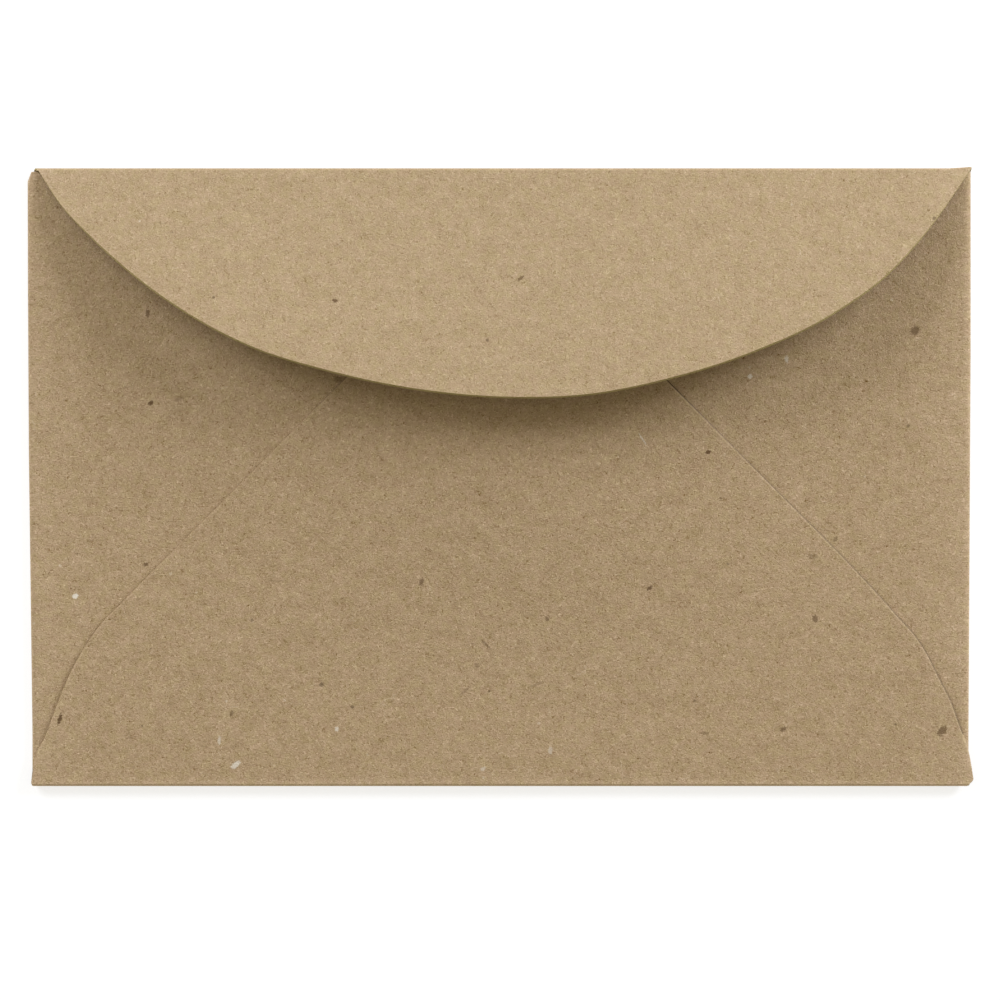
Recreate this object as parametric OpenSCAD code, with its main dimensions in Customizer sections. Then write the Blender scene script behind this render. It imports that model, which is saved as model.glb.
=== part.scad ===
// Small envelope folded from one sheet of brown recycled kraft paper.
// It lies on its front with the flaps up: the bottom flap is glued over the two side flaps,
// and the rounded top flap has sprung open a few millimetres.
// Origin: centre of the underside. X runs along the long side, Y towards the top fold, Z up.

/* [Envelope] */
// Width across the two side folds
env_w = 92; // [80:0.5:110]
// Height from the bottom fold to the top fold
env_h = 60.4; // [52:0.2:74]
// Thickness of the paper
paper_t = 0.18; // [0.1:0.01:0.3]
// Inside radius of the side folds, which wrap nothing
fold_r = 0.15; // [0.08:0.01:0.4]
// How far the back bulges off the front in the middle
back_rise = 2.1; // [0.6:0.1:3.4]
// Where the back starts to rise, above the bottom fold
rise_start = 9; // [4:0.5:20]
// Length over which it rises to its full height
rise_run = 38; // [24:1:48]
// How far the top and bottom flaps were cut off centre, to the right
cut_shift = 0.5; // [0:0.1:1]

/* [Top flap] */
// Length of the flap from its fold to its lowest point, along the paper
flap_len = 22.4; // [17:0.1:28]
// How far the fold of the flap stops short of each corner
flap_inset = 0.3; // [0:0.05:2]
// Slope of the cut edge where it leaves the fold, in degrees
flap_corner_angle = 57; // [45:1:70]
// Radius of the shoulders of the flap
flap_shoulder_r = 44; // [20:1:50]
// Gap that the springy fold leaves between the open flap and the hidden tip of the bottom flap
flap_gap = 0.75; // [0.1:0.05:1.5]

/* [Bottom flap] */
// Distance of the hidden tip below the top fold
throat = 12.2; // [8:0.2:18]
// Radius of the hidden tip
tip_r = 17.5; // [6:0.5:30]
// Radius of the shoulders, where the seams turn down to the corners
bottom_shoulder_r = 35; // [20:1:60]
// Slope of the cut edge at the bottom corners, in degrees
bottom_corner_angle = 80; // [70:1:88]

/* [Side flaps] */
// Reach of each side flap inwards from its fold
side_reach = 38; // [25:0.5:42]
// Radius of the rounded free end
side_end_r = 10; // [5:0.5:18]
// Where the side fold starts above the bottom fold
side_start = 1.5; // [0.8:0.1:4]
// Where the side fold ends below the top fold
side_stop = 0.8; // [0.6:0.1:4]

/* [Seams] */
// Thickness of the dried glue
glue_t = 0.05; // [0.02:0.01:0.1]
// Distance of the glue from the cut edge, measured down the back
glue_margin = 1.5; // [0.5:0.1:4]
// Width of the glue line, measured down the back
glue_w = 6.5; // [3:0.5:12]

/* [Hidden] */
kraft = "#b8a07f";
// Longest chord of an arc, and its widest angle
arc_step = 1.2;
arc_turn = 12;
// How far pieces that become one run into each other
lap = 0.1;

half_w = env_w / 2;
half_h = env_h / 2;
// The top and bottom folds wrap the side flaps, so they are a little wider than the side folds.
wrap_r = fold_r + (paper_t + glue_t) / 2;
side_out = fold_r + paper_t;
wrap_out = wrap_r + paper_t;
// Axes of the right, bottom and top folds
side_x = half_w - side_out;
bottom_y = -half_h + wrap_out;
top_y = half_h - wrap_out;

// Inside of the back at the folds
back_z = side_out + fold_r;
// Share of the rise that is an even slope from the bottom fold on, so that no part lies level
even_rise = 0.2;
// Steps along each half wave of the back
wave_steps = 24;

// Heights above the inside of the back where the bottom flap starts and ends
bottom_flap_h = paper_t + glue_t;
stack_h = bottom_flap_h + paper_t;

// The top flap stands at the angle that leaves flap_gap over the tip of the bottom flap.
tip_y = half_h - throat;
tip_z = 2 * wrap_out + up(tip_y);
flap_lift = atan((tip_z + flap_gap - wrap_out - wrap_r) / (top_y - tip_y));

function polar(r, a) = r * [cos(a), sin(a)];
function direction(v) = atan2(v.y, v.x);
// Points along an arc from direction a0 to a1, with the first left out where it is already there
function arc(centre, r, a0, a1, first = 0) =
    let (turn = abs(a1 - a0), n = ceil(max(turn / arc_turn, turn * PI / 180 * r / arc_step)))
    [for (i = [first:n]) centre + polar(r, a0 + (a1 - a0) * i / n)];
// A right half that ends on the middle line, with its mirror image
function both_halves(right) =
    concat(right, [for (i = [len(right) - 2:-1:0]) [-right[i].x, right[i].y]]);
// Direction from either centre to the straight edge that touches both circles on the right-hand side
function edge_normal(from, from_r, to, to_r) =
    direction(to - from) - acos((from_r - to_r) / norm(to - from));

// Half a wave, from 0 where t is 0 to 1 where t is 1
function half_wave(t) = (1 - cos(180 * t)) / 2;
// Rise of the back across, from nothing at the side folds to all in the middle
function across(x) = back_rise * half_wave(1 - x / side_x);
// Rise of the back up from the bottom fold: an even slope and half a wave
function up(y) = back_rise * (
    even_rise * (y - bottom_y) / env_h
    + (1 - even_rise) * half_wave(min(max((y + half_h - rise_start) / rise_run, 0), 1))
);
// Inside of the back raised by h, from the right side fold to the middle
function back_wave(h, first = 0) = [
    for (i = [first:wave_steps])
        let (x = side_x * (1 - i / wave_steps))
        [x, back_z + h + across(x)]
];
// Section under the back, seen along Y
function arch(h) = both_halves(concat([[env_w, -env_h], [env_w, back_z + h]], back_wave(h)));
// Section between the side folds, seen along Y
function tube(h) =
    both_halves(concat(arc([side_x, side_out], fold_r + h, -90, 90), back_wave(h, 1)));
// Inside of the back raised by h, seen along X from far above the top fold down to low_y
function back_climb(h, low_y) = [
    for (y = concat(
        [env_h],
        [for (i = [wave_steps:-1:0]) rise_start - half_h + rise_run * i / wave_steps],
        [low_y]
    )) [y, back_z + h + up(y)]
];
// Section under the back, seen along X
function ramp(h) = concat([[-env_h, -env_h], [env_h, -env_h]], back_climb(h, -env_h));
// Section inside the bottom fold of radius r, seen along X
function wrap(r, h) = concat(
    [[env_h, wrap_out - r]],
    back_climb(h, bottom_y),
    arc([bottom_y, wrap_out], r, 90, 270, 1)
);
// Section of the top fold and flap, seen along X
function flap_section() =
    let (axis = [top_y, wrap_out], out = 90 - flap_lift, along = polar(flap_len, 180 - flap_lift))
    concat(
        [[top_y - lap, 0]], arc(axis, wrap_out, -90, out), [axis + polar(wrap_out, out) + along],
        [axis + polar(wrap_r, out) + along], arc(axis, wrap_r, out, -90), [[top_y - lap, paper_t]]
    );

module along_y(points) {
    translate([0, env_h, 0])
        rotate([90, 0, 0])
            linear_extrude(2 * env_h) polygon(points);
}

module along_x(points, width = 2 * env_w) {
    translate([-width / 2, 0, 0])
        rotate([90, 0, 90])
            linear_extrude(width) polygon(points);
}

module both_sides() {
    children();
    mirror([1, 0, 0]) children();
}

// Top flap with its fold along y = 0: one broad arc between two tighter shoulders
module top_flap_outline() {
    corner = [half_w - flap_inset, 0];
    shoulder = corner + polar(flap_shoulder_r, 90 + flap_corner_angle);
    drop = shoulder.y + flap_len;
    broad_r = (norm([shoulder.x, drop]) ^ 2 - flap_shoulder_r ^ 2) / (2 * (drop - flap_shoulder_r));
    broad = [0, broad_r - flap_len];
    meet_a = direction(shoulder - broad);
    polygon(both_halves(concat(
        [corner + [0, env_h]],
        arc(shoulder, flap_shoulder_r, flap_corner_angle - 90, meet_a),
        arc(broad, broad_r, meet_a, -90, 1)
    )));
}

// Bottom flap seen from above: shoulders, straight seams and a round tip
module bottom_flap_outline() {
    corner = [half_w, bottom_y];
    shoulder = corner - polar(bottom_shoulder_r, 90 - bottom_corner_angle);
    tip = [0, tip_y - tip_r];
    seam_a = edge_normal(shoulder, bottom_shoulder_r, tip, tip_r);
    polygon(both_halves(concat(
        [[half_w, -env_h]],
        arc(shoulder, bottom_shoulder_r, 90 - bottom_corner_angle, seam_a),
        arc(tip, tip_r, seam_a, 90)
    )));
}

// Right side flap seen from above: a tongue that tapers to a round end
module side_flap_outline() {
    low = [side_x, -half_h + side_start];
    high = [side_x, half_h - side_stop];
    end = [side_x - side_reach + side_end_r, (low.y + high.y) / 2];
    low_a = edge_normal(end, side_end_r, low, 0);
    polygon(concat([low, high], arc(end, side_end_r, -low_a, 360 + low_a)));
}

// All that lies under the back raised by h
module under_back(h) {
    intersection() {
        along_y(arch(h));
        along_x(ramp(h));
    }
}

// Front of the envelope with the two side flaps folded over it
module front_and_sides() {
    intersection() {
        difference() {
            intersection() {
                along_y(tube(paper_t));
                along_x(ramp(paper_t));
            }
            intersection() {
                along_y(tube(0));
                along_x(ramp(0));
            }
        }
        union() {
            translate([-side_x, bottom_y, -lap])
                cube([2 * side_x, top_y - bottom_y, side_out + lap]);
            both_sides()
                translate([0, 0, -lap])
                    linear_extrude(env_h) {
                        side_flap_outline();
                        translate([side_x - lap, -half_h + side_start])
                            square([half_w, env_h - side_start - side_stop]);
                    }
        }
    }
}

// Bottom fold and the flap that lies over the side flaps
module bottom_flap() {
    intersection() {
        difference() {
            intersection() {
                along_y(arch(stack_h));
                along_x(wrap(wrap_out, stack_h));
            }
            intersection() {
                along_y(arch(bottom_flap_h));
                along_x(wrap(wrap_r, bottom_flap_h));
            }
        }
        translate([cut_shift, 0, 0]) {
            translate([0, 0, wrap_out]) linear_extrude(env_h) bottom_flap_outline();
            translate([-half_w, -half_h - lap, -lap])
                cube([env_w, wrap_out + 2 * lap, 2 * wrap_out]);
        }
    }
}

// Dried glue between the side flaps and the bottom flap, reaching half into each
module glue_lines() {
    intersection() {
        difference() {
            under_back(bottom_flap_h + paper_t / 2);
            under_back(paper_t / 2);
        }
        linear_extrude(env_h)
            intersection() {
                both_sides() side_flap_outline();
                difference() {
                    translate([cut_shift, -glue_margin]) bottom_flap_outline();
                    translate([cut_shift, -glue_margin - glue_w]) bottom_flap_outline();
                }
            }
    }
}

// Top fold and the flap that has sprung open, cut to its outline
module top_flap() {
    translate([cut_shift, 0, 0])
        intersection() {
            along_x(flap_section(), env_w - 2 * flap_inset);
            translate([0, top_y, wrap_out])
                rotate([-flap_lift, 0, 0])
                    translate([0, 0, -env_h])
                        linear_extrude(2 * env_h) top_flap_outline();
        }
}

module envelope() {
    color(kraft)
        union() {
            front_and_sides();
            glue_lines();
            bottom_flap();
            top_flap();
        }
}

envelope();
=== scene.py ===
# %% [markdown]
# # A small kraft paper envelope
#
# The real thing is one sheet of brown recycled paper, cut to a blank, folded four times and
# glued. It lies on its front, so that the camera looks down on its back: a bottom flap glued
# over two side flaps, and a rounded top flap that has sprung open by a few millimetres.
#
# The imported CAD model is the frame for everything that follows. It has the right folds and
# sizes, but no texture, so a finer sheet with a paper finish takes its place here.

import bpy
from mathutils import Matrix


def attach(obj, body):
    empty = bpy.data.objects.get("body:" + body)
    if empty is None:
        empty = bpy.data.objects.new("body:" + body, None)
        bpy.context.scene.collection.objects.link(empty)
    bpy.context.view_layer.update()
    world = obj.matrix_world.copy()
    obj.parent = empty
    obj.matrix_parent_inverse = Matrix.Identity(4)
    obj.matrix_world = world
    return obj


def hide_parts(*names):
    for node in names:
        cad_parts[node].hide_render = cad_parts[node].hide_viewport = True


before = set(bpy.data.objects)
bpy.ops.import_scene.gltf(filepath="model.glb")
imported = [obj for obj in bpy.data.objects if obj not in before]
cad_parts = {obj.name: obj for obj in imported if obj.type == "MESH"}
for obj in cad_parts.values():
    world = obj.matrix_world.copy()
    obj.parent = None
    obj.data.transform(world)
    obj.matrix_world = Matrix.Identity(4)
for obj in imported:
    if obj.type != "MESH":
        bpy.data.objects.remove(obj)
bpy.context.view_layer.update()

# %% [markdown]
# ## Tools
#
# Blender's Python brings numpy, which works on a whole grid of points at once. The envelope is
# laid out in millimetres, because that is how its maker thinks, and becomes metres only where
# its mesh is made. The table and the lamps are large and are given in metres.

# %% Imports and units
import math

import bmesh
import bpy
import numpy as np
from mathutils import Vector

MM = 0.001
scene = bpy.context.scene
print("one millimetre is", MM, "of a unit")

# %% [markdown]
# ## The sheet and its folds
#
# Paper has a thickness that shows at every cut edge, and it can't be folded to a sharp line:
# the outside of a fold is an arc. A box with bevelled edges would be quicker, but it would have
# neither flaps nor cut edges, so every fold is worked out here as part of an oval.
#
# The side folds wrap nothing and have sprung back a little, so they are wide and low. The top
# and bottom folds wrap the side flaps, so they are higher by one sheet and the glue, and they
# were pressed until they were steep.

# %% Sizes of the sheet
PAPER = 0.18
GLUE = 0.05
SIDE_FOLD = 0.15 + PAPER / 2
WRAP_FOLD = SIDE_FOLD + (PAPER + GLUE) / 2
SIDE_WIDTH = 0.55
BOTTOM_WIDTH = 0.18
TOP_WIDTH = 0.2
TOP = 30.2
BOTTOM = -30.3
side_axis_z = SIDE_FOLD + PAPER / 2
side_axis_in = SIDE_WIDTH + PAPER / 2
wrap_axis_z = WRAP_FOLD + PAPER / 2
top_axis_y = TOP - TOP_WIDTH - PAPER / 2
bottom_axis_y = BOTTOM + BOTTOM_WIDTH + PAPER / 2
print("height of the folded edges, mm:", round(2 * wrap_axis_z, 2))

# %% [markdown]
# The two long creases aren't quite parallel. The envelope is a little narrower at its bottom
# than at its top, as a hand-fed folding machine leaves it. The top left corner is blunted.

# %% Side creases seen from above
def left_crease(y):
    return np.interp(y, [-25.0, 2.0, 18.0, 29.4, 29.9], [-45.73, -46.08, -46.17, -46.2, -45.8])


def right_crease(y):
    return np.interp(y, [-25.0, 12.0], [45.96, 46.17])


for y in (TOP, 0.0, BOTTOM):
    print(f"width at y = {y}: {right_crease(y) - left_crease(y):.2f} mm")

# %% [markdown]
# ## How the back lies
#
# An empty envelope isn't flat. Its side folds and bottom fold were pressed, so the back leaves
# them flat, and it bulges in the middle of the mouth, where nothing holds it down. A cloth
# simulation could find that shape, but it is slow and hard to steer. A wave from side to side,
# times a smooth step up from the bottom fold, comes very near to it. Very low waves stand for
# the slackness of paper.

# %% Height of the back above its folds
RISE = 2.1
RISE_POWER = 1.3
RISE_FROM, RISE_TO = -23.0, 16.5
HALF_WIDTH = 45.7
SLACK = 0.018
SLACK_WAVES = [(0.21, 0.05, 0.4), (-0.13, 0.19, 2.1), (0.06, -0.27, 4.4), (0.33, 0.16, 1.2)]


def slack(x, y):
    return sum(SLACK * np.sin(a * x + b * y + phase) for a, b, phase in SLACK_WAVES)


def back_height(x, y):
    across = (0.5 + 0.5 * np.cos(math.pi * np.clip(x / HALF_WIDTH, -1, 1))) ** RISE_POWER
    t = np.clip((y - RISE_FROM) / (RISE_TO - RISE_FROM), 0, 1)
    up = (3 - 2 * t) * t * t
    height = RISE * across * up
    return height + np.clip(height, 0, 1) * slack(x, y)


print("back height in the middle, mm:", round(float(back_height(0.0, 0.0)), 2))

# %% [markdown]
# ## Curves of the cut edges
#
# The die that cuts the blank gives each flap its outline. A few points, measured along the
# edge, are enough when a smooth curve runs through them. Each span of the curve is a cubic
# that leaves its points with the slope of the neighbours. Bezier handles would do the same by
# hand, but here the curve has to give its height at any place across the flap.

# %% A smooth curve through points
def curve_through(points, x):
    knots, heights = np.array(points).T
    slopes = np.gradient(heights, knots)
    i = np.clip(np.searchsorted(knots, x) - 1, 0, len(knots) - 2)
    width = knots[i + 1] - knots[i]
    t = (x - knots[i]) / width
    rise = (3 - 2 * t) * t * t
    ease_in = t * (1 - t) ** 2 * width * slopes[i]
    ease_out = t * t * (t - 1) * width * slopes[i + 1]
    return heights[i] * (1 - rise) + heights[i + 1] * rise + ease_in + ease_out


print("halfway from (0, 0) to (1, 1) to (2, 0):", curve_through([(0, 0), (1, 1), (2, 0)], 0.5))

# %% Cut edge of the top flap: depth below the top fold
TOP_FLAP_EDGE = [
    (-45.28, 0.0), (-42.98, 3.51), (-40.05, 6.7), (-36.14, 10.25), (-30.26, 14.47),
    (-24.39, 17.55), (-16.57, 20.04), (-6.78, 21.99), (1.05, 22.6), (8.87, 22.3),
    (16.7, 20.73), (24.53, 18.23), (32.36, 14.52), (38.23, 10.2), (42.14, 5.8), (46.24, 0.0),
]
print("points on the edge of the top flap:", len(TOP_FLAP_EDGE))

# %% Cut edge of the bottom flap: height on the envelope
BOTTOM_FLAP_EDGE = [
    (-45.82, -29.9), (-45.72, -28.9), (-45.33, -27.14), (-44.57, -25.67), (-43.43, -22.64),
    (-42.01, -19.21), (-40.54, -16.57), (-39.22, -14.66), (-36.92, -12.27), (-26.1, -1.45),
    (-15.39, 9.26), (-11.74, 12.9), (-6.1, 16.6), (0.56, 18.0), (7.2, 16.6), (12.94, 12.9),
    (16.49, 9.36), (25.98, -0.13), (34.78, -8.99), (37.38, -11.78), (39.06, -13.68),
    (40.74, -15.54), (41.7, -16.96), (43.17, -19.86), (44.3, -22.13), (45.12, -24.4),
    (45.86, -26.51), (46.15, -27.9), (46.42, -29.6),
]
print("points on the edge of the bottom flap:", len(BOTTOM_FLAP_EDGE))

# %% [markdown]
# ## Laying the sheet
#
# Separate panels would be easy to make, but would leave a seam at each fold. Here the sheet is
# a set of grids that share the rows where they meet, so that it stays one piece from the front
# panel round every fold, as the paper does.
#
# Beside its place in space, each point keeps its place on the flat blank. The paper texture is
# read there, so that fibres run round the folds without a break. A point also keeps how much
# paler it is painted along a cut edge.

# %% A sheet made of grids
class Sheet:
    def __init__(self):
        self.places, self.blank, self.rim, self.quads = [], [], [], []

    def grid(self, places, blank, first=None, turned=False, rim=0.0):
        """Adds rows of points that grow from the row called first.

        Turned grids face the other way.
        """
        rows, columns = places.shape[:2]
        self.rim.extend(np.broadcast_to(rim, (rows, columns)).ravel())
        start = len(self.places)
        self.places.extend(places.reshape(-1, 3))
        self.blank.extend(blank.reshape(-1, 2))
        index = start + np.arange(rows * columns).reshape(rows, columns)
        if first is not None:
            index = np.vstack([first, index])
        a, b = index[:-1, :-1], index[:-1, 1:]
        c, d = index[1:, 1:], index[1:, :-1]
        corners = [a, d, c, b] if turned else [a, b, c, d]
        self.quads.extend(np.stack(corners, axis=-1).reshape(-1, 4))
        return index


sheet = Sheet()
print("points laid so far:", len(sheet.places))

# %% [markdown]
# The front panel lies flat on the table. Four points would do for its shape, but the folds grow
# from its sides and need their own rows and columns there. The columns stand closer together
# near the corners, where the cut edges of the flaps that share them are steep. Past the ends of
# the side folds it is nearly as wide as the top and bottom folds that it turns into.

# %% Columns and rows of the front panel
COLUMNS = 168
EVEN_SHARE = 0.3
SIDE_ROWS = 60
SIDE_START = BOTTOM + 1.5
SIDE_STOP = TOP - 0.32
steps = np.arange(COLUMNS + 1) / COLUMNS
across = EVEN_SHARE * steps + (1 - EVEN_SHARE) * (1 - np.cos(math.pi * steps)) / 2
side_rows = np.linspace(SIDE_START, SIDE_STOP, SIDE_ROWS)
rows_y = np.concatenate([[bottom_axis_y], side_rows, [top_axis_y]])
print("length of the side folds, mm:", round(SIDE_STOP - SIDE_START, 2))

# %% Front panel
LEFT_CORNERS_OUT = 0.45
RIGHT_CORNER_OUT = 0.68
left_x = left_crease(rows_y) + side_axis_in
right_x = right_crease(rows_y) - side_axis_in
left_x[[0, -1]] -= LEFT_CORNERS_OUT
right_x[-1] += RIGHT_CORNER_OUT
front_x = left_x[:, None] + (right_x - left_x)[:, None] * across
front_y = np.broadcast_to(rows_y[:, None], front_x.shape)
front_flat = np.stack([front_x, front_y], axis=-1)
front_places = np.stack([front_x, front_y, np.full(front_x.shape, PAPER / 2)], axis=-1)
front = sheet.grid(front_places, front_flat, turned=True)
print("front panel:", front.shape[0] - 1, "by", front.shape[1] - 1, "quads")

# %% [markdown]
# Each side flap starts at a crease, turns through half a circle and is the left or right part
# of the back. Seen from above it is a tongue: straight edges that taper to a round end. The
# bottom flap hides that end, which follows the usual pattern and leaves the middle of the pocket
# free of a third layer.

# %% Reach of a side flap
TONGUE = 38.0
TONGUE_END = 10.0
tongue_middle = (SIDE_START + SIDE_STOP) / 2
tongue_half = (SIDE_STOP - SIDE_START) / 2
end_reach = TONGUE - TONGUE_END
taper = math.atan2(tongue_half, end_reach) - math.asin(
    TONGUE_END / math.hypot(tongue_half, end_reach)
)


def tongue_reach(y):
    off = np.abs(y - tongue_middle)
    straight = (tongue_half - off) / math.tan(taper)
    on_end = np.sqrt(np.clip(TONGUE_END**2 - off**2, 0, None))
    return np.where(off < TONGUE_END * math.cos(taper), end_reach + on_end, straight)


print("reach in the middle, mm:", float(tongue_reach(tongue_middle)))

# %% [markdown]
# A flap needs rows of points from its fold to its cut edge. Even rows would blur both. So one
# row lies close to the fold, which keeps its arc, and two close to the cut edge, where the paper
# is pressed. Near the corners a flap is so short that all of these have to shrink with it.

# %% Rows from a fold to a cut edge
RIM = 0.3
FIRST_ROW = 0.04
SHORT_SHARE = 0.3
SHORTEST = 0.03


def rows_from_fold(room, steps, rim=RIM):
    """Distances from the fold, closer to each other beside the fold and beside the cut edge."""
    rim = np.minimum(rim, SHORT_SHARE * room)
    even = np.linspace(0, 1, steps + 1)[1:, None] * (room - rim)
    first_row = np.minimum(FIRST_ROW, SHORT_SHARE * even[0])
    return np.vstack([first_row, even, room - rim / 2, room])


def as_points(fold, flap):
    """Rows of a fold and of the flap behind it, from their x, y and z."""
    return np.stack([np.vstack([a, b]) for a, b in zip(fold, flap)], axis=-1)


print("four steps over 10 mm:", rows_from_fold(np.array([10.0]), 4).ravel().round(2))

# %% [markdown]
# A bent sheet keeps its length, so the blank has to know how much paper a fold takes. For an
# oval fold that is nearly the length of a round one with the mean of its two radii.

# %% Side folds and side flaps
FOLD_STEPS = 10
SIDE_STEPS = 44
SIDE_RUN = (SIDE_WIDTH + SIDE_FOLD) / 2


def side_flap(sign, crease, first):
    axis_x = crease(side_rows) - sign * side_axis_in
    half_turn = np.linspace(0, math.pi, FOLD_STEPS + 1)[1:, None]
    fold_x = axis_x + sign * SIDE_WIDTH * np.sin(half_turn)
    fold_z = side_axis_z - SIDE_FOLD * np.cos(half_turn) + 0 * axis_x
    inwards = rows_from_fold(np.maximum(tongue_reach(side_rows), SHORTEST), SIDE_STEPS)
    flap_x = axis_x - sign * inwards
    fold_y, flap_y = side_rows + 0 * fold_x, side_rows + 0 * flap_x
    flap_z = side_axis_z + SIDE_FOLD + back_height(flap_x, flap_y)
    flap_places = as_points((fold_x, fold_y, fold_z), (flap_x, flap_y, flap_z))
    run = np.vstack([half_turn * SIDE_RUN + 0 * axis_x, math.pi * SIDE_RUN + inwards])
    flat = np.stack([axis_x + sign * run, flap_places[..., 1]], axis=-1)
    return sheet.grid(flap_places, flat, first, turned=sign < 0)


left = side_flap(-1, left_crease, front[1:-1, 0])
right = side_flap(1, right_crease, front[1:-1, -1])
print("side flaps:", left.shape, right.shape)

# %% [markdown]
# The bottom flap wraps round the side flaps and is glued to them, so it follows the same back,
# one sheet and one layer of glue higher. It was folded a little off centre, and its right
# corner stands out past the side crease and is blunt. First its columns are set, from one end
# of the cut edge to the other.

# %% Columns of the bottom flap
BLUNT = 0.35
BLUNT_FROM, BLUNT_OVER = 45.4, 0.9
BLUNT_REACH = 0.5


def columns_between(edge):
    return edge[0][0] + (edge[-1][0] - edge[0][0]) * across


bottom_x = columns_between(BOTTOM_FLAP_EDGE)
bottom_cut = curve_through(BOTTOM_FLAP_EDGE, bottom_x)
blunt = BLUNT * np.clip((bottom_x - BLUNT_FROM) / BLUNT_OVER, 0, 1)
print("bottom flap, mm wide:", round(float(np.ptp(bottom_x)), 2))

# %% [markdown]
# The fold is swept through half a turn, and while it turns, its columns slide from those of the
# front panel to those of the flap. A thin rim along the cut edge is painted paler, and more so on
# the right. The rim is set square to the edge, however steep that is.

# %% Bottom fold and bottom flap
FLAP_STEPS = 60
RIM_PALE_LEFT, RIM_PALE_RIGHT = 1.0, 3.6
RIM_PALE_ROWS = np.array([[0.8], [1.0]])
turn = np.linspace(0, math.pi, FOLD_STEPS + 1)[1:, None]
slide = np.sin(turn / 2) ** 2
fold_x = front_x[0] + (bottom_x - blunt - front_x[0]) * slide
fold_y = bottom_axis_y - BOTTOM_WIDTH * np.sin(turn) + 0 * fold_x
fold_z = wrap_axis_z - WRAP_FOLD * np.cos(turn) + 0 * fold_x
room = np.maximum(bottom_cut - bottom_axis_y, SHORTEST)
upwards = rows_from_fold(room, FLAP_STEPS, RIM * np.hypot(1, np.gradient(bottom_cut, bottom_x)))
flap_y = bottom_axis_y + upwards
flap_x = bottom_x - blunt * np.clip(1 - upwards / BLUNT_REACH, 0, 1) ** 2
flap_z = wrap_axis_z + WRAP_FOLD + back_height(flap_x, flap_y)
bottom_places = as_points((fold_x, fold_y, fold_z), (flap_x, flap_y, flap_z))
bottom_run = np.vstack([turn * WRAP_FOLD + 0 * bottom_x, math.pi * WRAP_FOLD + upwards])
bottom_flat = np.stack([bottom_places[..., 0], bottom_axis_y - bottom_run], axis=-1)
bottom_rim = np.zeros(bottom_places.shape[:2])
bottom_rim[-2:] = np.where(bottom_x < 0, RIM_PALE_LEFT, RIM_PALE_RIGHT) * RIM_PALE_ROWS
bottom = sheet.grid(bottom_places, bottom_flat, front[0], rim=bottom_rim)
print("bottom flap:", bottom.shape)

# %% [markdown]
# The top flap hangs on its fold alone. It could be a plate of its own that is turned, but then
# the fold would tear from it. The fold springs back instead, so it stops short of half a turn,
# and the flap leaves it at an angle and stands clear of the hidden tip of the bottom flap. Its
# right corner reaches a little higher than the left one.

# %% Top fold
LIFT = math.radians(14.0)
CORNER_UP = 0.2
CORNER_FROM, CORNER_OVER = 44, 2.1
top_x = columns_between(TOP_FLAP_EDGE)
top_cut = TOP - curve_through(TOP_FLAP_EDGE, top_x)
last_turn = math.pi - math.atan(math.tan(LIFT) * TOP_WIDTH / WRAP_FOLD)
turn = np.linspace(0, last_turn, FOLD_STEPS + 1)[1:, None]
slide = np.sin(turn / 2) ** 2
corner_up = CORNER_UP * np.clip((top_x - CORNER_FROM) / CORNER_OVER, 0, 1)
fold_x = front_x[-1] + (top_x - front_x[-1]) * slide
fold_y = top_axis_y + TOP_WIDTH * np.sin(turn) + corner_up * slide
fold_z = wrap_axis_z - WRAP_FOLD * np.cos(turn) + 0 * fold_x
fold_end_y = float(fold_y[-1, 0])
print("the top fold turns by, degrees:", round(math.degrees(last_turn), 1))

# %% [markdown]
# The flap isn't quite flat: the middle of its free edge hangs lower, and the parts beside it
# stand a little higher. One wave across, which grows with the distance from the fold, is enough
# for that, and it shows in the shadow below the edge.

# %% Top flap
TOP_STEPS = 36
BEND = 0.7
BEND_DEPTH, BEND_WIDTH = 22, 92
room = np.maximum(fold_y[-1] - top_cut, SHORTEST)
outwards = rows_from_fold(room, TOP_STEPS)
flap_y = fold_y[-1] - outwards
flap_x = top_x + 0 * flap_y
bend = BEND * (outwards / BEND_DEPTH) * np.cos(2 * math.pi * top_x / BEND_WIDTH)
flap_z = fold_z[-1] + outwards * math.tan(LIFT) - bend
top_run = np.vstack([turn * WRAP_FOLD + 0 * top_x, last_turn * WRAP_FOLD + outwards])
top_places = as_points((fold_x, fold_y, fold_z), (flap_x, flap_y, flap_z))
top_flat = np.stack([top_places[..., 0], top_axis_y + top_run], axis=-1)
top = sheet.grid(top_places, top_flat, front[-1], turned=True)
print("top flap:", top.shape, "free edge at", round(float(flap_z.max()), 2), "mm")

# %% [markdown]
# ## Thickness and cut edges
#
# The grids are the middle of the paper, and they all face out of the folded envelope. Each
# point moves half a thickness out and half a thickness in along the normal, and a narrow band
# closes the cut edges. Blender's Solidify modifier does the same, but it can't slant the band.

# %% Normals of the middle surface
NO_LENGTH = 1e-12
places = np.array(sheet.places)
blank = np.array(sheet.blank)
quads = np.array(sheet.quads)


def unit(arrows):
    return arrows / np.maximum(np.linalg.norm(arrows, axis=1, keepdims=True), NO_LENGTH)


corner_a, corner_b, corner_c, corner_d = (places[quads[:, k]] for k in range(4))
face_normals = np.cross(corner_c - corner_a, corner_d - corner_b)
normals = np.zeros_like(places)
for k in range(4):
    np.add.at(normals, quads[:, k], face_normals)
normals = unit(normals)
print("share of points that face up:", round(float(np.mean(normals[:, 2] > 0)), 2))

# %% Cut edges: sides of quads that no other quad shares
sides = np.concatenate([quads[:, [k, (k + 1) % 4]] for k in range(4)])
key = np.sort(sides, axis=1)
_, first_seen, times = np.unique(key, axis=0, return_index=True, return_counts=True)
cut = sides[first_seen[times == 1]]
along = places[cut[:, 1]] - places[cut[:, 0]]
outward = np.zeros_like(places)
for end in (0, 1):
    np.add.at(outward, cut[:, end], np.cross(along, normals[cut[:, end]]))
outward = unit(outward)
print("quads:", len(quads), "cut edges:", len(cut))

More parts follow.
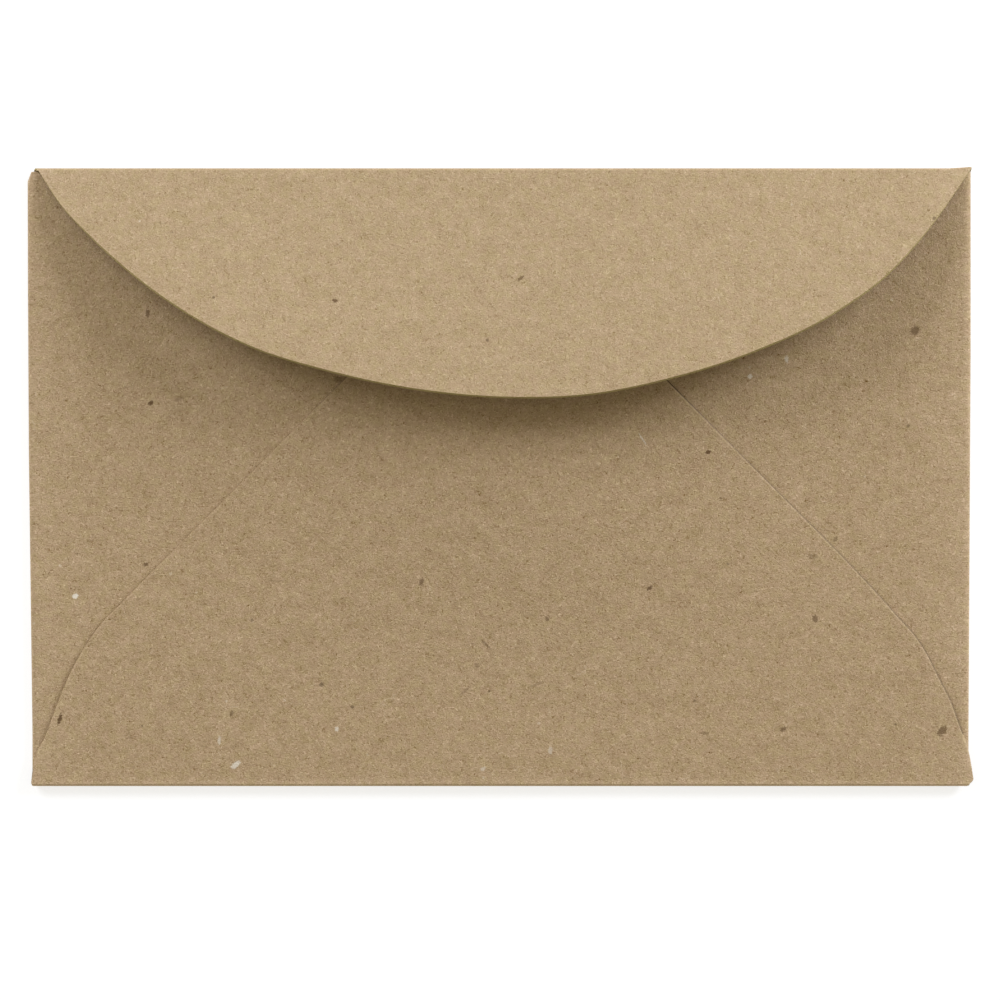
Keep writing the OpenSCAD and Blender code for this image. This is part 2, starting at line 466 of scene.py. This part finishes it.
# %% [markdown]
# A blade leaves the cut a little slanted, which is why a thin light line shows along the seams
# from above. The outer face is drawn back from the edge by that slant. It is small on the left
# seam, wider on the right one, and fades towards the corners of the top flap.

# %% Slant of the cut
TOP_SLANT, LEFT_SLANT, RIGHT_SLANT, CORNER_SLANT = 0.12, 0.06, 0.12, 0.03
LEAST_SHARE = 0.2
FADE_END, FADE_OVER = 46, 8
BESIDE_CREASE = 0.3
x, y = places[:, 0], places[:, 1]
on_top_flap = blank[:, 1] > top_axis_y
over_side_flap = ~on_top_flap & (x < right_crease(y) - BESIDE_CREASE)
corner_share = np.clip((FADE_END - np.abs(x)) / FADE_OVER, LEAST_SHARE, 1)
seam_slant = np.where(x < 0, LEFT_SLANT, np.where(over_side_flap, RIGHT_SLANT, CORNER_SLANT))
slant = np.where(on_top_flap, TOP_SLANT * corner_share, seam_slant)[:, None]
print("slant, mm:", slant.min().round(3), "to", slant.max().round(3))

# %% Both faces of the paper and the band between them
outer = places + normals * PAPER / 2 - outward * slant
inner = places - normals * PAPER / 2
count = len(places)
band = np.stack([cut[:, 1], cut[:, 0], cut[:, 0] + count, cut[:, 1] + count], axis=1)
faces = np.concatenate([quads, quads[:, ::-1] + count, band])
points = np.concatenate([outer, inner]) * MM
mesh = bpy.data.meshes.new("envelope_sheet")
mesh.from_pydata(points.tolist(), [], faces.tolist())
mesh.update()
envelope = bpy.data.objects.new("envelope_sheet", mesh)
scene.collection.objects.link(envelope)
print("triangles:", 2 * len(faces))

# %% [markdown]
# Smooth shading hides the facets of the arcs, but the cut edges have to stay crisp. Marking
# every edge sharper than 40 degrees does both. The place on the blank goes into an attribute,
# in millimetres, with 0 on the outer face and 1 on the inner face as its third number. A UV map
# could carry it too, but it would squeeze the blank into a square.

# %% Shading and the place on the blank
SHARP = math.radians(40)
mesh.polygons.foreach_set("use_smooth", [True] * len(mesh.polygons))
mesh.set_sharp_from_angle(angle=SHARP)
attribute = mesh.attributes.new("blank", "FLOAT_VECTOR", "POINT")
sheet_side = np.repeat([0.0, 1.0], count)[:, None]
attribute.data.foreach_set("vector", np.hstack([np.vstack([blank, blank]), sheet_side]).ravel())
print("flat blank, mm:", np.ptp(blank, axis=0).round(1))

# %% [markdown]
# Seen from above, the band of the top flap is the bare cut, the one along the left seam lies in
# a little shade, and the one along the right seam lies in more. Soft lamps hardly draw a line
# that thin, so each band gets a slot of its own, for a finish with another level.

# %% Slots of the faces and of the cut edges
PAPER_SLOT, BARE_CUT, LEFT_SEAM, RIGHT_SEAM = range(4)
edge_slot = np.where(over_side_flap & (x > 0), RIGHT_SEAM, LEFT_SEAM)
edge_slot = np.where(on_top_flap, BARE_CUT, edge_slot)[cut[:, 0]]
face_slots = np.concatenate([np.full(2 * len(quads), PAPER_SLOT), edge_slot])
mesh.polygons.foreach_set("material_index", face_slots.tolist())
print("faces in each slot:", np.bincount(face_slots))

# %% [markdown]
# The outer face is painted paler along the side folds, in a broad band beside them, and along the
# bottom fold: painted light, which the lamps don't give these places. A thin rim along the glued
# cut edge is paler too, and the top fold is a little darker. A brush could paint that, but the
# rims follow the folds, so they are worked out: one number for each point of the outer face.

# %% How pale the outer face is painted
# Bands of painted light along the side folds and the bottom fold, and a darker top fold: each
# with its strength and its reach in mm.
SIDE_PAINTED_LIGHT = [(0.8, 6.0), (0.4, 1.0), (1.0, 0.25)]
BOTTOM_PAINTED_LIGHT = [(0.5, 1.0), (11.0, 0.35)]
TOP_DARK = [(1.2, 0.3)]


def fold_bands(gap, bands):
    """Bands along a fold, each with its strength and its reach, that fade with the gap."""
    return sum(strength * np.clip(1 - gap / reach, 0, 1) for strength, reach in bands)


by_side = np.minimum(x - left_crease(y), right_crease(y) - x)
rims_and_painted_light_value = fold_bands(by_side, SIDE_PAINTED_LIGHT) + fold_bands(y - BOTTOM, BOTTOM_PAINTED_LIGHT)
rims_and_painted_light_value = rims_and_painted_light_value + np.array(sheet.rim) - fold_bands(TOP - y, TOP_DARK)
rims_and_painted_light = mesh.attributes.new("rims_and_painted_light", "FLOAT", "POINT")
rims_and_painted_light.data.foreach_set("value", np.concatenate([rims_and_painted_light_value, np.zeros(count)]))
print("worn, from", rims_and_painted_light_value.min().round(2), "to", rims_and_painted_light_value.max().round(2))

# %% [markdown]
# Paper has an inside and an outside, so the mesh has to be closed. An edge that isn't shared by
# two faces would be a hole, and the volume times the density of kraft is the mass.

# %% Is the sheet closed?
volume = bmesh.new()
volume.from_mesh(mesh)
print("open edges:", sum(not e.is_manifold for e in volume.edges), end=", ")
print("volume, mm3:", round(volume.calc_volume() / MM**3, 1))
volume.free()

# %% [markdown]
# ## Shader maths as plain sums
#
# A finish is a network of nodes, and most of them only add and multiply. They could be wired by
# hand in the editor, but a long network is hard to read there. This class wraps one output
# socket and gives it the usual signs, so that a mask can be written as a sum. Any other node
# comes from `node`, which takes its type, its settings and its inputs.

# %% A socket that can be used in sums
class Signal:
    """One output socket of a node. New nodes go into the tree that is set last."""

    tree = None

    def __init__(self, socket):
        self.socket = socket

    @classmethod
    def node(cls, kind, settings=None, inputs=None, out=0):
        made = cls.tree.nodes.new("ShaderNode" + kind)
        for name, value in (settings or {}).items():
            setattr(made, name, value)
        for name, value in (inputs or {}).items():
            cls.feed(made.inputs[name], value)
        return cls(made.outputs[out])

    @classmethod
    def feed(cls, socket, value):
        if isinstance(value, Signal):
            cls.tree.links.new(value.socket, socket)
        else:
            socket.default_value = value

    def maths(self, operation, a, b):
        return self.node("Math", {"operation": operation}, {0: a, 1: b})

    def __add__(self, other):
        return self.maths("ADD", self, other)

    __radd__ = __add__

    def __sub__(self, other):
        return self.maths("SUBTRACT", self, other)

    def __rsub__(self, other):
        return self.maths("SUBTRACT", other, self)

    def __mul__(self, other):
        return self.maths("MULTIPLY", self, other)

    __rmul__ = __mul__


print("signs that a socket takes: +, - and *")

# %% [markdown]
# Four kinds of node come up again and again. Each gets a short function: a soft step, a mix of
# two colours, a sum or product of vectors, and noise.

# %% Steps, mixes, vectors and noise
def step_between(value, low, high):
    """0 under low, 1 over high, and a smooth step between."""
    settings = {"interpolation_type": "SMOOTHSTEP"}
    return Signal.node("MapRange", settings, {"Value": value, "From Min": low, "From Max": high})


def mix_colours(mask, first, second, how="MIX"):
    settings = {"data_type": "RGBA", "blend_type": how}
    first = (*first, 1.0) if isinstance(first, tuple) else first
    second = (*second, 1.0) if isinstance(second, tuple) else second
    return Signal.node("Mix", settings, {0: mask, 6: first, 7: second}, out=2)


def vectors(operation, *inputs, out=0):
    return Signal.node("VectorMath", {"operation": operation}, dict(enumerate(inputs)), out)


def noise(vector, scale, detail=0.0, rough=0.5, twist=0.0, out=0):
    inputs = {"Vector": vector, "Scale": scale, "Detail": detail}
    inputs |= {"Roughness": rough, "Distortion": twist}
    return Signal.node("TexNoise", {}, inputs, out)


print("shader tools ready")

# %% [markdown]
# ## Kraft paper
#
# Recycled kraft is a felt of brown fibres. Close up it has a fine grain from fibres that lie
# in every direction, faint warm and greenish clouds, and now and then a dark shive, a pale
# fibre or a speck of ink. A scanned picture of paper would bring its own light and would repeat,
# so the felt is built up from noises that are read on the blank.

# %% Colours of the paper, as linear light
KRAFT = (0.412, 0.2945, 0.169)
WARM = (0.421, 0.294, 0.174)
OLIVE = (0.409, 0.2975, 0.160)
DARK_FIBRE = (0.15, 0.10, 0.05)
PALE_FIBRE = (0.62, 0.51, 0.37)
DARK_MARK = (0.12, 0.067, 0.028)
WHITE_MARK = (0.74, 0.68, 0.57)
LUMINANCE = (0.2126, 0.7152, 0.0722)
print("light that kraft gives back:", round(float(np.dot(KRAFT, LUMINANCE)), 3))

# %% [markdown]
# A fibre is a thin short stroke. Thousands of curves would be true to it and very slow, but
# noise that is drawn out along one direction has hills of that shape. Five directions of it add
# up to the felt. Where such a hill is very high, it stands for a single fibre that lies on top,
# dark or pale, and these are longer.
#
# Angles are in degrees on the blank, lengths and widths in millimetres. The last number of each
# row moves the noise to another place, so that no two are alike.

# %% One direction of fibres
FELT_LENGTH, FELT_WIDTH = 0.5, 0.14


def strokes(flat, angle, length, width, seed):
    """Noise that is stretched along one direction, so that its hills are short strokes."""
    turn_about = {"Vector": flat, "Angle": math.radians(angle)}
    turned = Signal.node("VectorRotate", {"rotation_type": "Z_AXIS"}, turn_about)
    drawn_out = vectors("MULTIPLY", turned, (1 / length, 1 / width, 1.0))
    return noise(vectors("ADD", drawn_out, (seed, -seed, seed)), 1.0)


print("a fibre is", round(FELT_LENGTH / FELT_WIDTH, 1), "times as long as wide")

# %% The felt, and single fibres on it
FELT = [(10, 1.3), (46, 5.9), (82, 9.0), (118, 12.1), (154, 15.2)]
DARK_FIBRES = [(15, 1.1, 3.1), (70, 1.0, 11.3), (120, 1.0, 14.2), (165, 1.0, 17.1)]
PALE_FIBRES = [(40, 1.2, 7.7), (95, 1.3, 23.9), (145, 1.3, 27.6), (190, 1.3, 31.3)]


def felt_of(bent):
    return sum(strokes(bent, angle, FELT_LENGTH, FELT_WIDTH, seed) for angle, seed in FELT)


def single_fibres(bent, fibres, width, low, high):
    layers = [strokes(bent, angle, length, width, seed) for angle, length, seed in fibres]
    return sum(step_between(layer, low, high) for layer in layers)


print("directions:", len(FELT), "of felt,", len(DARK_FIBRES), "dark,", len(PALE_FIBRES), "pale")

# %% [markdown]
# Specks are bits of ink and bark. A Voronoi texture scatters one point in each cell, and a
# random number of the cell decides how large its speck is. It is multiplied by itself, so that
# most specks are hardly seen and a few are large.

# %% Scattered specks
SPECK_RAGGED = 0.05
SPECK_SIZE = 0.06


def specks(flat, per_mm, low, high, seed):
    """Small round spots of uneven size, one at most in each cell."""
    moved = vectors("ADD", flat, (seed, seed, 0.0))
    ragged = SPECK_RAGGED * noise(moved, 6.0, 1.0)
    cells = {"Vector": moved, "Scale": per_mm, "Randomness": 1.0}
    distance = Signal.node("TexVoronoi", {"feature": "F1"}, cells)
    cell_colour = Signal.node("TexVoronoi", {"feature": "F1"}, cells, out=1)
    luck = Signal.node("SeparateColor", {}, {0: cell_colour})
    size = luck * luck * luck * SPECK_SIZE
    return 1 - step_between(distance + ragged - size, low, high)


DARK_SPECKS = (0.30, 0.02, 0.05, 4.0)
PALE_SPECKS = (0.36, 0.015, 0.035, 21.0)
print("a large dark speck, mm:", round(2 * (SPECK_SIZE + DARK_SPECKS[2]) / DARK_SPECKS[0], 2))

# %% [markdown]
# Some marks are large enough to be told apart: brown shives, black specks and flakes of white
# paper that were never pulped. Each has its place on the envelope, half its length and half its
# width in millimetres, the angle of its long side in degrees, and how strongly it shows.

# %% Marks that can be told apart
DARK_MARKS = [
    (43.3, -24.9, 0.55, 0.36, 48, 0.75), (40.7, 14.3, 0.48, 0.38, 38, 0.7),
    (-43.0, -23.7, 0.55, 0.17, 72, 0.95), (30.9, -13.9, 0.36, 0.26, 108, 0.7),
    (-1.3, -16.4, 0.6, 0.15, 136, 0.5), (-34.4, 16.0, 0.42, 0.2, 90, 0.65),
    (-34.1, 7.2, 0.28, 0.2, 35, 0.95), (20.4, 2.4, 0.25, 0.22, 35, 0.95),
    (-31.3, 7.6, 0.55, 0.2, 20, 0.35), (27.8, -24.7, 0.34, 0.19, 24, 0.75),
    (-7.6, -10.3, 0.4, 0.2, 71, 0.65), (-3.4, -21.0, 0.7, 0.13, 41, 0.35),
    (14.7, -10.9, 0.3, 0.18, 36, 0.85), (30.7, -7.8, 0.5, 0.25, 0, 0.35),
    (20.1, -25.1, 0.42, 0.17, 5, 0.45), (-26.2, -23.2, 0.3, 0.18, 65, 0.6),
    (3.7, -20.3, 0.8, 0.13, 22, 0.28), (-15.7, 9.5, 0.42, 0.28, 4, 0.4),
    (-2.2, -18.5, 0.27, 0.23, 131, 0.4), (32.9, -6.1, 0.26, 0.2, 63, 0.5),
    (-34.6, -8.6, 0.26, 0.18, 22, 0.75), (4.7, -13.9, 0.27, 0.19, 84, 0.6),
    (-16.0, 17.1, 0.25, 0.18, 159, 0.85), (2.1, 19.3, 0.42, 0.14, 36, 0.7),
]
WHITE_MARKS = [
    (-25.8, -28.2, 0.5, 0.24, 39, 0.75), (-41.5, -11.7, 0.28, 0.24, 32, 0.95),
    (-27.4, -25.8, 0.4, 0.16, 83, 0.45), (28.1, 11.5, 0.34, 0.18, 91, 0.5),
    (24.5, 9.8, 0.24, 0.2, 56, 0.6), (5.0, -26.8, 0.34, 0.2, 90, 0.35),
    (-15.9, -24.7, 0.24, 0.18, 78, 0.6), (-1.6, -28.6, 0.27, 0.16, 27, 0.4),
    (14.0, 3.64, 0.7, 0.08, 124, 0.45),
]
print("dark marks:", len(DARK_MARKS), "white marks:", len(WHITE_MARKS))

# %% [markdown]
# A mark was in the paper before it was folded, so its place is turned back to the flat blank.
# That way it also runs on round a fold, and shows on one face of the paper only.

# %% From the envelope to the blank
def on_blank(x, y):
    """Where a point seen from above lies on the flat blank."""
    if y > TOP - curve_through(TOP_FLAP_EDGE, x):
        return x, top_axis_y + last_turn * WRAP_FOLD + (fold_end_y - y)
    if y < curve_through(BOTTOM_FLAP_EDGE, x):
        return x, 2 * bottom_axis_y - math.pi * WRAP_FOLD - y
    sign = 1 if x > 0 else -1
    axis_x = (right_crease if x > 0 else left_crease)(y) - sign * side_axis_in
    return 2 * axis_x + sign * math.pi * SIDE_RUN - x, y


print("a brown shive lies on the blank at", np.round(on_blank(*DARK_MARKS[0][:2]), 1))

# %% Mask of a list of marks
MARK_FULL, MARK_GONE = 0.7, 1.3
OTHER_FACE = 5.0


def marks_mask(flat, marks, ragged):
    """Soft ovals with uneven edges. Folding mirrors the blank, which turns each angle round."""
    total = 0
    for x, y, half_length, half_width, angle, strength in marks:
        offset = vectors("SUBTRACT", flat, (*on_blank(x, y), 0.0))
        turn_back = {"Vector": offset, "Angle": math.radians(angle)}
        turned = Signal.node("VectorRotate", {"rotation_type": "Z_AXIS"}, turn_back)
        squeezed = vectors("MULTIPLY", turned, (1 / half_length, 1 / half_width, OTHER_FACE))
        away = vectors("LENGTH", squeezed, out=1)
        total = strength * (1 - step_between(away + ragged, MARK_FULL, MARK_GONE)) + total
    return total


print("a mark fades out between", MARK_FULL, "and", MARK_GONE, "of its half size")

# %% [markdown]
# The colour starts as plain kraft with warm and greenish clouds. Single fibres and specks are
# laid over it as thin glazes, so that the kraft shows through them.

# %% Colour of the felt
WARM_CLOUDS, WARM_STEP = (1.1, 3.0, 0.6, 0.3), (0.4, 0.6)
OLIVE_CLOUDS, OLIVE_STEP = (0.8, 3.0, 0.65), (0.45, 0.62)
DARK_FORM, PALE_FORM = (0.11, 0.72, 0.84), (0.10, 0.74, 0.84)
FIBRE_SHOWS = 0.18
DARK_SPECK_SHOWS, PALE_SPECK_SHOWS = 0.7, 0.5


def felt_colour(flat, bent):
    glazes = [
        (step_between(noise(flat, *WARM_CLOUDS), *WARM_STEP), WARM),
        (step_between(noise(flat, *OLIVE_CLOUDS), *OLIVE_STEP), OLIVE),
        (FIBRE_SHOWS * single_fibres(bent, DARK_FIBRES, *DARK_FORM), DARK_FIBRE),
        (FIBRE_SHOWS * single_fibres(bent, PALE_FIBRES, *PALE_FORM), PALE_FIBRE),
        (DARK_SPECK_SHOWS * specks(flat, *DARK_SPECKS), DARK_FIBRE),
        (PALE_SPECK_SHOWS * specks(flat, *PALE_SPECKS), PALE_FIBRE),
    ]
    colour = KRAFT
    for mask, glaze in glazes:
        colour = mix_colours(mask, colour, glaze)
    return colour


print("a single fibre covers the kraft by", FIBRE_SHOWS)

# %% [markdown]
# How light the felt is varies at every size, from single fibres to the broad buckles of the
# sheet. One noise with much detail would treat all sizes alike, so each has a noise and a
# strength of its own.

# %% Unevenness, from fine to broad
UNEVENNESS = {
    "grain": (8.0, 0.0), "ink": (7.0, 0.0), "lumps": (4.0, 0.0),
    "flocks": (1.0, 0.0), "clouds": (0.5, 0.0), "cockle": (0.25, 1.0, 0.6),
}
FINE = {"grain": 0.72, "felt": 0.24, "lumps": 0.3}
BROAD = {"flocks": 0.13, "clouds": 0.13, "cockle": 0.08}
RELIEF = {"grain": 0.6, "lumps": 0.5, "flocks": 0.8, "cockle": 2.0}


def unevenness(flat):
    return {name: noise(flat, *form) for name, form in UNEVENNESS.items()}


def weighted(parts, strengths):
    return sum(strength * parts[name] for name, strength in strengths.items())


print("sizes, mm:", {name: round(1 / form[0], 2) for name, form in UNEVENNESS.items()})

# %% [markdown]
# The fine part is stronger in patches. Where kraft is paler it is also greyer, so that red
# follows the light less and blue more than green. The top flap was flattened more in the press,
# so its grain is weaker. It is also painted a trace darker and less red: painted shade on the
# flap, which faces the lamps.

# %% How light the felt is
PATCHES_PER_MM, PATCH_SPREAD, PATCH_LEAST = 2.3, 3.0, -0.5
RIMS_AND_LIGHT_PALER = 0.12
PRESSED_OVER = 1.0
PRESSED_GRAIN, TOP_FLAP_SHADE, TOP_FLAP_SHADE_LESS_RED = 0.22, 0.015, 0.02
RED_FOLLOWS, BLUE_FOLLOWS = 0.86, 1.3
INK_BLUE = 0.1


def felt_shades(flat, bent, uneven):
    """How light the felt is in red, green and blue, around 1."""
    around_0 = {name: value - 0.5 for name, value in uneven.items()}
    around_0["felt"] = felt_of(bent) - 0.5 * len(FELT)
    patchy = PATCH_SPREAD * noise(flat, PATCHES_PER_MM) + PATCH_LEAST
    along_sheet = Signal.node("SeparateXYZ", {}, {0: flat}, out=1)
    # The mask of the top flap: weaker grain there, and painted shade that makes it darker and
    # less red.
    pressed_and_shaded = step_between(along_sheet, top_axis_y, top_axis_y + PRESSED_OVER)
    # How much paler the outer face is painted: pale rims, painted light along the folds, and a
    # darker top fold.
    rims_and_painted_light = Signal.node("Attribute", {"attribute_name": "rims_and_painted_light"}, out=2)
    grain = weighted(around_0, FINE) * patchy + weighted(around_0, BROAD)
    paler = RIMS_AND_LIGHT_PALER * rims_and_painted_light + grain * (1 - PRESSED_GRAIN * pressed_and_shaded)
    level = 1 - TOP_FLAP_SHADE * pressed_and_shaded
    red = level - TOP_FLAP_SHADE_LESS_RED * pressed_and_shaded + RED_FOLLOWS * paler
    blue = level + BLUE_FOLLOWS * paler + INK_BLUE * around_0["ink"]
    return red, level + paler, blue


print("blue varies", round(BLUE_FOLLOWS / RED_FOLLOWS, 2), "times as much as red")

# %% [markdown]
# The finish puts these together. The same noises are also a very low relief, which a bump node
# turns into shading. Real relief would need millions of points. Fibres curl, so the place at
# which they are read is moved about by a broad noise. Paper is matt, so it is rough and has
# little gloss. The cut edges use the same felt with another level and tint.

# %% Paper finish
CURLS_PER_MM, CURL = 0.6, (0.8, 0.8, 0.8)
MARK_RAGGED = 1.2
RELIEF_HEIGHT = 0.04
ROUGHNESS = 0.88
GLOSS = 0.25


def paper_finish(name, light=1.0, tint=(1.0, 1.0, 1.0), marked=False):
    material = bpy.data.materials.new(name)
    material.use_nodes = True
    Signal.tree = material.node_tree
    shader = material.node_tree.nodes["Principled BSDF"]
    flat = Signal.node("Attribute", {"attribute_name": "blank"}, out=1)
    bent = vectors("MULTIPLY_ADD", noise(flat, CURLS_PER_MM, 1.0, out=1), CURL, flat)
    uneven = unevenness(flat)
    colour = felt_colour(flat, bent)
    shades = felt_shades(flat, bent, uneven)
    parts = {k: shades[k] * (light * tint[k]) for k in range(3)}
    colour = mix_colours(1.0, colour, Signal.node("CombineColor", {}, parts), "MULTIPLY")
    if marked:
        ragged = MARK_RAGGED * (uneven["ink"] - 0.5)
        colour = mix_colours(marks_mask(flat, DARK_MARKS, ragged), colour, DARK_MARK)
        colour = mix_colours(marks_mask(flat, WHITE_MARKS, ragged), colour, WHITE_MARK)
    Signal.feed(shader.inputs["Base Color"], colour)
    relief = {"Strength": 1.0, "Distance": RELIEF_HEIGHT * MM, "Height": weighted(uneven, RELIEF)}
    Signal.feed(shader.inputs["Normal"], Signal.node("Bump", {}, relief))
    shader.inputs["Roughness"].default_value = ROUGHNESS
    shader.inputs["Specular IOR Level"].default_value = GLOSS
    print(name, "has", len(material.node_tree.nodes), "nodes")
    return material


print("relief, mm:", round(RELIEF_HEIGHT * sum(RELIEF.values()), 3))

# %% Finish of each slot
BARE_CUT_TINT = (0.93, 1.0, 0.74)
SHADE_TINT = (1.0, 0.96, 0.9)
finishes = [
    paper_finish("kraft_paper", marked=True),
    paper_finish("kraft_cut_edge", tint=BARE_CUT_TINT),
    paper_finish("kraft_left_seam", light=0.85, tint=SHADE_TINT),
    paper_finish("kraft_right_seam", light=0.42, tint=SHADE_TINT),
]
for finish in finishes:
    mesh.materials.append(finish)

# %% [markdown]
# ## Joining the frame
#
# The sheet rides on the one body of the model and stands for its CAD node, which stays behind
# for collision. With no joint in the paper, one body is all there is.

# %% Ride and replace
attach(envelope, "root")
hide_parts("envelope")

# %% [markdown]
# ## Table
#
# A plain white table that catches the shadow of the envelope. More light would burn out the
# paper before the table is white. So, to the camera alone, the table glows a little on top of
# what it reflects, and shows as clean white while a shadow still darkens it.

# %% What the camera sees directly
def seen_directly():
    """1 for rays from the camera, a reflection or a transparent body, and 0 for light."""
    names = ("Is Camera Ray", "Is Glossy Ray", "Is Transmission Ray")
    return sum(Signal.node("LightPath", {}, {}, out=name) for name in names)


def grey(level):
    return (level, level, level)


print("a grey of one half:", grey(0.5))

# %% White table
REACH = 3.0
BELOW = 0.00001
PAINT, PAINT_SEEN, GLOW_SEEN = 0.75, 0.4, 0.72
TABLE_ROUGHNESS = 0.9
corners = [(-REACH, -REACH, 0), (REACH, -REACH, 0), (REACH, REACH, 0), (-REACH, REACH, 0)]
table_mesh = bpy.data.meshes.new("table")
table_mesh.from_pydata(corners, [], [(0, 1, 2, 3)])
table = bpy.data.objects.new("table", table_mesh)
table.location.z = -BELOW
scene.collection.objects.link(table)
white = bpy.data.materials.new("white_table")
white.use_nodes = True
Signal.tree = white.node_tree
surface = white.node_tree.nodes["Principled BSDF"]
seen = seen_directly()
paint = mix_colours(seen, grey(PAINT), grey(PAINT_SEEN))
glow = mix_colours(seen, grey(0.0), grey(GLOW_SEEN))
Signal.feed(surface.inputs["Base Color"], paint)
Signal.feed(surface.inputs["Emission Color"], glow)
surface.inputs["Emission Strength"].default_value = 1.0
surface.inputs["Roughness"].default_value = TABLE_ROUGHNESS
table_mesh.materials.append(white)
print("table is", 2 * REACH, "m wide")

# %% [markdown]
# ## Light
#
# Two soft lamps stand behind the top edge, to the left and to the right, quite low, so that
# the open flap throws its shadow down onto the back. One lamp would throw it to one side only. A
# warm sky fills the rest, and the lamps are a little cool, so that together they are white and
# only the shadows are warm.

# %% Sky
SKY = 0.37
SKY_COLOUR = (1.07, 1.0, 0.8)
sky = bpy.data.worlds.new("sky")
sky.use_nodes = True
scene.world = sky
Signal.tree = sky.node_tree
background = sky.node_tree.nodes["Background"]
seen = seen_directly()
Signal.feed(background.inputs["Color"], mix_colours(seen, SKY_COLOUR, grey(1.0)))
Signal.feed(background.inputs["Strength"], SKY + seen * (1 - SKY))
print("share of the sky in the light:", SKY)

# %% Two soft lamps
LAMP_COLOUR = (0.96, 1.0, 1.12)
LAMP_DISTANCE = 0.8


def lamp(name, azimuth, elevation, size, level):
    """An oval lamp that lights flat white paper to the given level. Azimuth 0 is the top."""
    light = bpy.data.lights.new(name, "AREA")
    light.shape = "ELLIPSE"
    light.color = LAMP_COLOUR
    light.size, light.size_y = size
    a, e = math.radians(azimuth), math.radians(elevation)
    light.energy = level * math.pi**2 * LAMP_DISTANCE**2 / math.sin(e)
    holder = bpy.data.objects.new(name, light)
    spot = Vector((math.sin(a) * math.cos(e), math.cos(a) * math.cos(e), math.sin(e)))
    holder.location = spot * LAMP_DISTANCE
    holder.rotation_euler = spot.to_track_quat("Z", "Y").to_euler()
    holder.visible_camera = False
    scene.collection.objects.link(holder)
    print(name, "gives", round(light.energy, 2), "W")


lamp("lamp_left", azimuth=-51, elevation=22.8, size=(0.56, 0.28), level=0.28)
lamp("lamp_right", azimuth=54, elevation=18.4, size=(0.45, 0.29), level=0.34)

# %% [markdown]
# ## Camera
#
# The photograph looks straight down from some way off, with the envelope a little above the
# middle of the picture. An orthographic camera would come close, but has no real counterpart. A
# long lens does, and it keeps the sides of the folds out of sight as well.

# %% Camera above the envelope
PIXELS_PER_MM = 10.22
FRAME_PIXELS = 1000
MIDDLE_PIXEL_X = 499.3
TOP_FOLD_PIXEL_Y = 168
BACK_MEAN_HEIGHT = 0.9
LENS = 200.0
SENSOR = 36.0
camera_data = bpy.data.cameras.new("camera")
camera_data.lens = LENS
camera_data.sensor_width = SENSOR
camera = bpy.data.objects.new("camera", camera_data)
height = FRAME_PIXELS / PIXELS_PER_MM * LENS / camera_data.sensor_width
middle_x = (FRAME_PIXELS / 2 - MIDDLE_PIXEL_X) / PIXELS_PER_MM
middle_y = TOP - (FRAME_PIXELS / 2 - TOP_FOLD_PIXEL_Y) / PIXELS_PER_MM
camera.location = Vector((middle_x, middle_y, height + BACK_MEAN_HEIGHT)) * MM
scene.collection.objects.link(camera)
scene.camera = camera
scene.view_settings.view_transform = "Standard"
print("camera height, mm:", round(height, 1))
